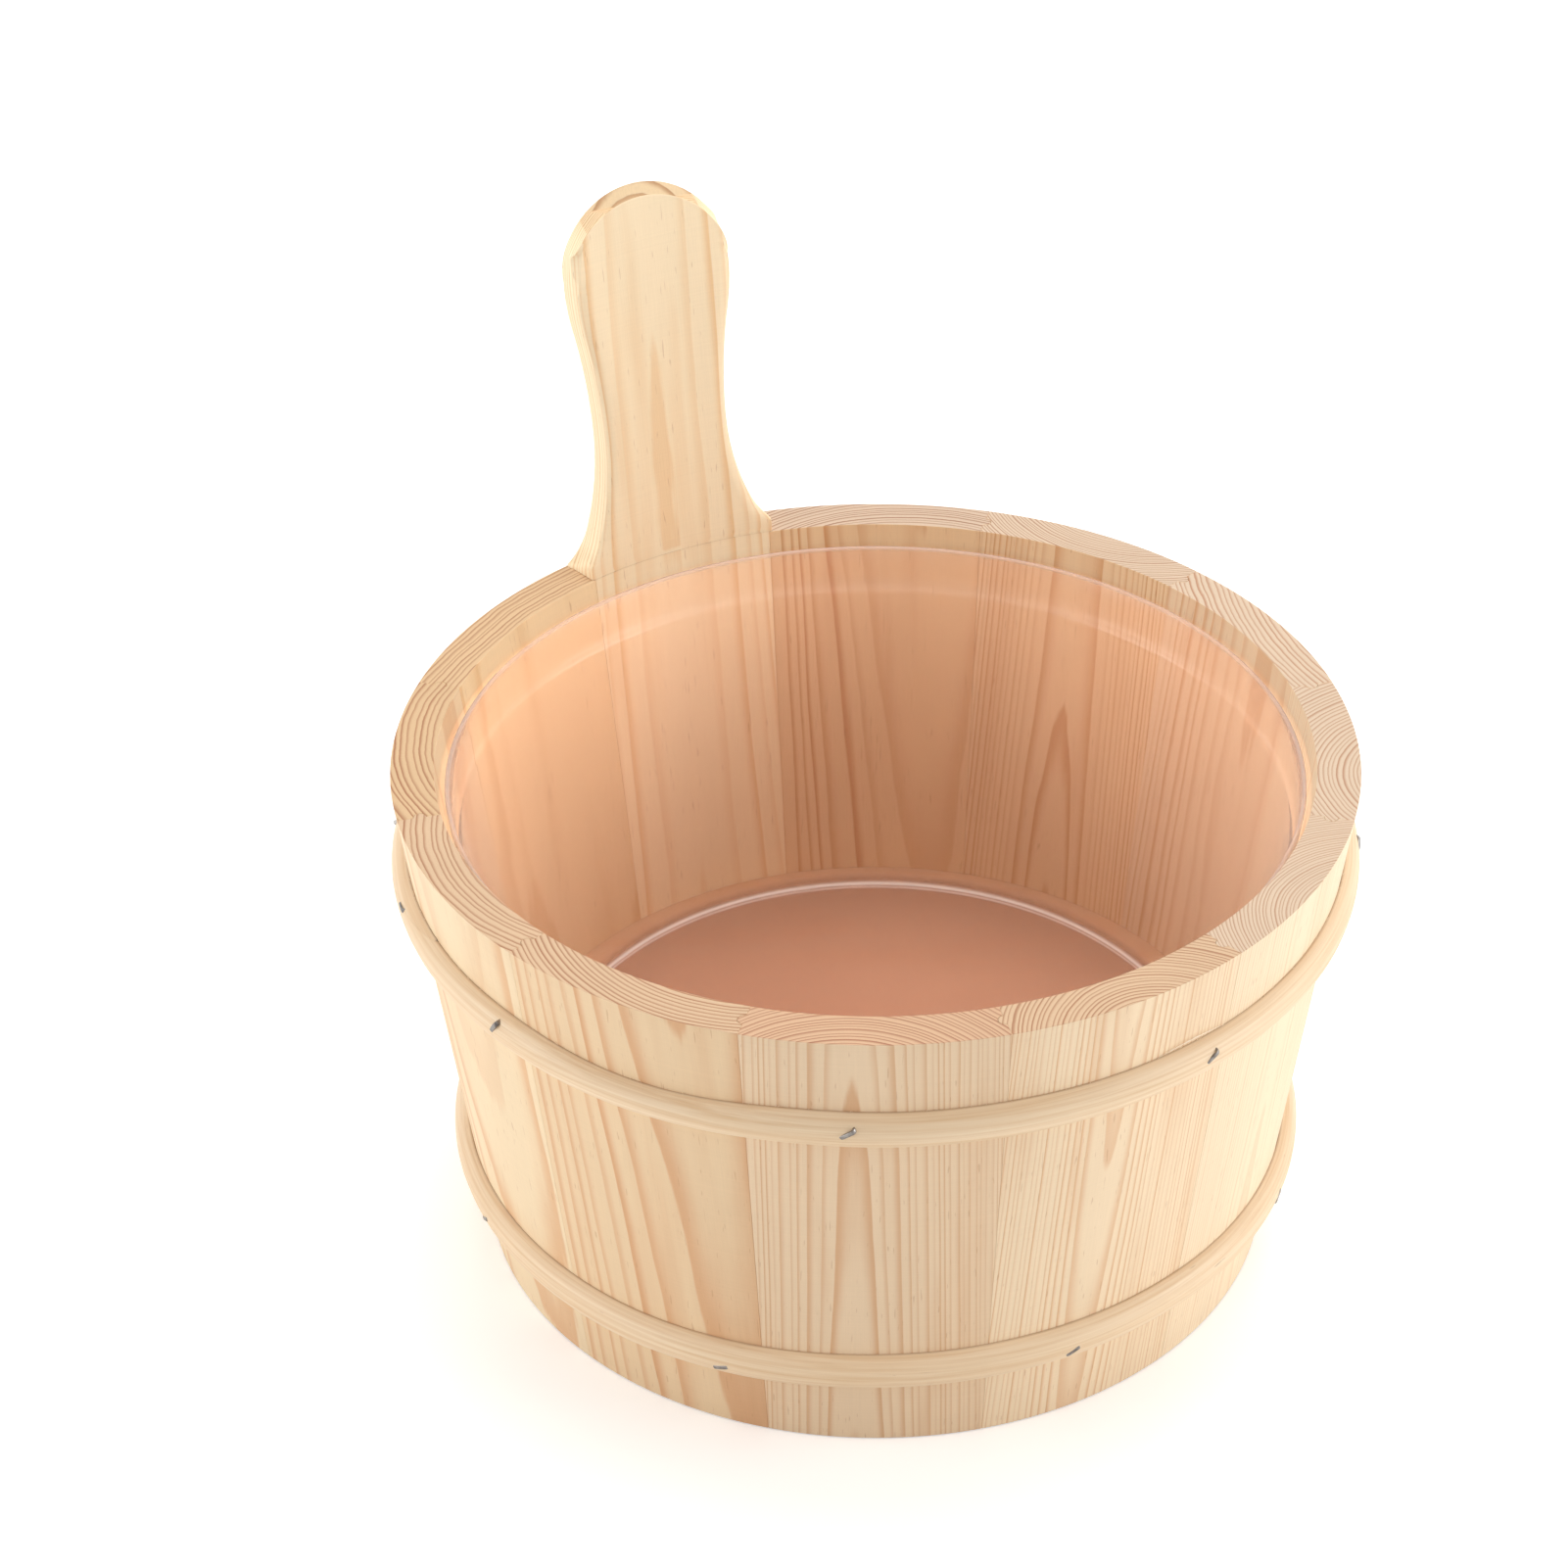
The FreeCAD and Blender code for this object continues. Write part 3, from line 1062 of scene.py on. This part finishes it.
def liner_material():
    """Thin moulded plastic, clear but slightly milky, most at its rim and floor; toward the floor the
    milk is painted darker brown as shade, and a pale ring on the floor's corner is a painted
    highlight.
    """
    material, tree = new_material("liner_clear")
    x, y, z = object_place(tree)
    height = z / millimetre
    edge = height.rise(liner_rim_height - 1.0, liner_rim_height - 0.4)
    low = 1 - height.rise(liner_floor_height + 1.5, liner_floor_height + 5)
    corner_highlight_radius = inner_radius(bottom_top) - liner_floor_gap - liner_highlight_inset
    painted_corner_highlight = from_axis(x, y).bump(corner_highlight_radius, liner_highlight_reach) * low
    # Painted shade: toward the floor the milky layer turns darker brown, as the deep bottom of the
    # pail lies in shade; the floor is also milkier.
    tint = mix(tree, low, linear(232, 206, 192), linear(184, 134, 110))
    # Painted highlight: the pale ring on the floor's corner, in the milky layer.
    tint = mix(tree, painted_corner_highlight, tint, linear(255, 238, 228))
    mould = noise(tree, x * 60, y * 60, z * 60)
    grain = noise(tree, x * 2500, y * 2500, z * 2500)
    normal = bumped(tree, mould + grain * 0.04, 0.25, 0.0004)
    shader = add_node(tree, "ShaderNodeBsdfPrincipled",
                      {"Base Color": linear(252, 242, 237), "Roughness": mould * 0.03 + 0.17,
                       "IOR": 1.05, "Transmission Weight": 1.0, "Coat Weight": 0.4,
                       "Coat Roughness": 0.22, "Coat IOR": 1.4, "Sheen Weight": 0.3,
                       "Sheen Roughness": 0.4, "Sheen Tint": linear(222, 204, 194),
                       "Normal": normal})
    milk = add_node(tree, "ShaderNodeBsdfPrincipled",
                    {"Base Color": tint, "Roughness": 0.3, "IOR": 1.46, "Normal": normal})
    milk_and_painted_light = edge * 0.3 + low * 0.34 + painted_corner_highlight * 0.45 + 0.08
    cloudy = add_node(tree, "ShaderNodeMixShader",
                      {0: milk_and_painted_light, 1: shader.outputs[0], 2: milk.outputs[0]})
    clear = add_node(tree, "ShaderNodeBsdfTransparent", {"Color": linear(243, 234, 228)})
    path = add_node(tree, "ShaderNodeLightPath")
    both = add_node(tree, "ShaderNodeMixShader",
                    {0: path.outputs["Is Shadow Ray"], 1: cloudy.outputs[0], 2: clear.outputs[0]})
    finish_material(tree, both.outputs[0])
    return material


# Camera, at the photograph's place, in metres

camera_place = Vector((-0.44914, -0.82038, 0.76538))
camera_aim = Vector((-0.02792, -0.00275, 0.1415))
camera_roll = -0.815
camera_lens = 99.9
film_width = 36


def looking(place, aim):
    """A stand at a place, turned toward an aim."""
    turned = (Vector(aim) - Vector(place)).to_track_quat("-Z", "Y").to_matrix().to_4x4()
    return Matrix.Translation(Vector(place)) @ turned


def add_camera():
    data = bpy.data.cameras.new("camera")
    data.lens = camera_lens
    data.sensor_width = film_width
    data.clip_start = 0.01
    camera = add_object("camera", data)
    roll = Matrix.Rotation(math.radians(camera_roll), 4, "Z")
    camera.matrix_world = looking(camera_place, camera_aim) @ roll
    bpy.context.scene.camera = camera


# Floor, lamps and world, in metres

floor_reach = 4.0
floor_drop = 0.0003
floor_glow = 0.34


def add_floor():
    """A broad white floor that keeps a soft shadow."""
    mesh = bpy.data.meshes.new("floor")
    corners = [(x * floor_reach, y * floor_reach, -floor_drop)
               for x, y in ((-1, -1), (1, -1), (1, 1), (-1, 1))]
    mesh.from_pydata(corners, [], [(0, 1, 2, 3)])
    floor = add_object("floor", mesh)
    material, tree = new_material("white_floor")
    shader = add_node(tree, "ShaderNodeBsdfPrincipled",
                      {"Base Color": linear(244, 243, 241), "Roughness": 0.9,
                       "Specular IOR Level": 0.1})
    glow = add_node(tree, "ShaderNodeEmission",
                    {"Color": (1, 1, 1, 1), "Strength": seen_directly(tree) * floor_glow})
    both = add_node(tree, "ShaderNodeAddShader", {0: shader.outputs[0], 1: glow.outputs[0]})
    finish_material(tree, both.outputs[0])
    mesh.materials.append(material)


def add_lamp(name, place, aim, size, power):
    """A square soft box, its size in metres and its power in watts."""
    data = bpy.data.lights.new(name, "AREA")
    data.shape = "SQUARE"
    data.size = size
    data.energy = power
    add_object(name, data).matrix_world = looking(place, aim)


def around_camera(side_angle, distance, height):
    """A place about the pail, its angle measured from the camera's right hand."""
    turn = math.radians(side_angle + plank_angle)
    return (distance * math.cos(turn), distance * math.sin(turn), height)


world_level = 0.5
side_lamp_distance = 1.3
side_lamp_height = 0.42
side_lamp_size = 0.8


def add_light():
    """An even pale world that is seen as white, and three soft boxes."""
    world = bpy.data.worlds.new("surround")
    bpy.context.scene.world = world
    world.use_nodes = True
    tree = world.node_tree
    tree.nodes.clear()
    back = add_node(tree, "ShaderNodeBackground",
                    {"Color": (1, 1, 1, 1),
                     "Strength": seen_directly(tree) * (1 - world_level) + world_level})
    add_node(tree, "ShaderNodeOutputWorld", {"Surface": back.outputs[0]})
    aim = (0, 0, 0.11)
    for name, side_angle, power in (("right_box", -10, 8.9), ("left_box", 194, 7.2)):
        place = around_camera(side_angle, side_lamp_distance, side_lamp_height)
        add_lamp(name, place, aim, side_lamp_size, power)
    add_lamp("top_box", around_camera(80, 0.4, 1.5), aim, 1.0, 14.0)


# Make every piece

random_source = random.Random(5)
wide_stave_proud = 0.03
proud_reach = 0.06

pale_end = (215, 191, 165)
floor_face = (216, 182, 150)
woods = {
    "handle_stave": Pine(1, (1, -48), (1, -48), 1.35, 0.75, 0.75, 0.4, (253, 233, 197),
                         (236, 190, 132), (238, 208, 166), (188, 138, 94)),
    "wide_stave": Pine(2, (4, -150), (0, -150), 1.4, 0.8, face=(243, 215, 172), late=(222, 176, 120),
                       end=(216, 182, 142)),
    "stave_01": Pine(3, (-8, -62), (-8, -62), 1.7, 0.9, face=(236, 210, 172), end=(214, 180, 140)),
    "stave_02": Pine(4, (1, -60), (6, -63), 1.6, 0.85, 0.35, 0.8, (238, 214, 178), (222, 176, 132)),
    "stave_03": Pine(5, (10, -50), (11.5, -51.9), 1.35, 0.95, 0.1, 0.4, (232, 203, 165),
                     (212, 160, 116)),
    "stave_04": Pine(6, (-7, 33), (-6, 31.8), 1.2, 0.75, 0.04, 0.35, (234, 207, 174), (208, 158, 114),
                     (214, 176, 142), (150, 84, 54)),
    "stave_05": Pine(7, (-1.5, 19), (-4.5, 21), 1.2, 0.9, 0.1, 0.5, (240, 216, 183), (218, 172, 130)),
    "stave_06": Pine(8, (-2, 24), (1, 23), 0.95, 0.7, 0.0, 0.5, (242, 220, 188), (226, 184, 144),
                     pale_end, (170, 118, 86)),
    "stave_07": Pine(9, (-13, 26), (-13, 25), 1.3, 0.7, 0.0, 0.7, (242, 222, 190), (228, 190, 150),
                     pale_end, (170, 118, 86)),
    "stave_08": Pine(10, (-30, 120), (-30, 120), 1.5, 0.8, end=pale_end, end_late=(176, 122, 88)),
    "stave_09": Pine(11, (0, 36), (2, 34.5), 0.95, 0.95, 0.2, 0.5, (238, 208, 168), (212, 160, 112),
                     pale_end, (160, 108, 78)),
    "stave_10": Pine(12, (-8, -53), (-9, -56), 1.3, 0.95, 0.3, 0.6, (238, 206, 164), (210, 154, 106),
                     (211, 185, 160), (148, 96, 68)),
    "front_bottom_plank": Pine(13, (-70, 60), (-66, 56), 2.2, 0.3, face=floor_face),
    "middle_bottom_plank": Pine(14, (5, 70), (-3, 72), 2.4, 0.3, face=floor_face),
    "back_bottom_plank": Pine(15, (70, -50), (74, -46), 2.0, 0.3, face=floor_face),
}

make_handle_stave(woods["handle_stave"])
make_stave("wide_stave", wide_start, wide_stave_angle, woods["wide_stave"],
           wide_stave_proud)
for number in range(10):
    name = "stave_%02d" % (number + 1)
    make_stave(name, plain_start + number * plain_stave_angle, plain_stave_angle, woods[name],
               random_source.uniform(-proud_reach, proud_reach))

for name in ("front_bottom_plank", "middle_bottom_plank", "back_bottom_plank"):
    material = pine_material("pine_" + name, woods[name], plank_place, plank_angle)
    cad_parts[name].data.materials[0] = material

make_hoop("upper_hoop", upper_hoop_height, upper_scarf_angle, cane_material("cane_upper", 3.0), 1.0)
make_hoop("lower_hoop", lower_hoop_height, lower_scarf_angle, cane_material("cane_lower", 11.0), 4.0)

# Each staple drifts a little from even spacing and from the common slant, in degrees
upper_drifts = (0.0, -1.3, 0.8, -0.6, 0.5, -1.0, 0.7, -0.2)
lower_drifts = (0.0, 1.1, -0.7, 0.9, -0.4, 1.2, -0.9, 0.5)
upper_slants = (4, 0, -8, 5, 10, -6, 3, 26)
lower_slants = (-14, -4, 6, -8, 3, 9, -5, 0)
upper_first_staple = -121.7
lower_first_staple = -138.7
staple_spacing = 45
staples_round = 8
upper_staple_lift = 1.3
lower_staple_lift = -0.4
scarf_staple = (upper_hoop_height, 167.3, 8.0, 2.2, 0.0)

steel = wire_material()
upper_places = []
lower_places = []
for number in range(staples_round):
    angle = upper_first_staple + staple_spacing * number + upper_drifts[number]
    tilt = staple_tilt_angle + upper_slants[number]
    upper_places.append((upper_hoop_height, angle, tilt, upper_staple_lift, 0.0))
    angle = lower_first_staple + staple_spacing * number + lower_drifts[number]
    tilt = staple_tilt_angle + lower_slants[number]
    sag = sagging("lower_hoop", angle)[0]
    lower_places.append((lower_hoop_height, angle, tilt, lower_staple_lift - sag, sag))
upper_places.append(scarf_staple)
make_staples("upper_hoop_staples", upper_places, steel)
make_staples("lower_hoop_staples", lower_places, steel)

make_fibres(fibre_material())
make_liner(liner_material())

add_camera()
add_floor()
add_light()
bpy.context.scene.view_settings.view_transform = "Standard"
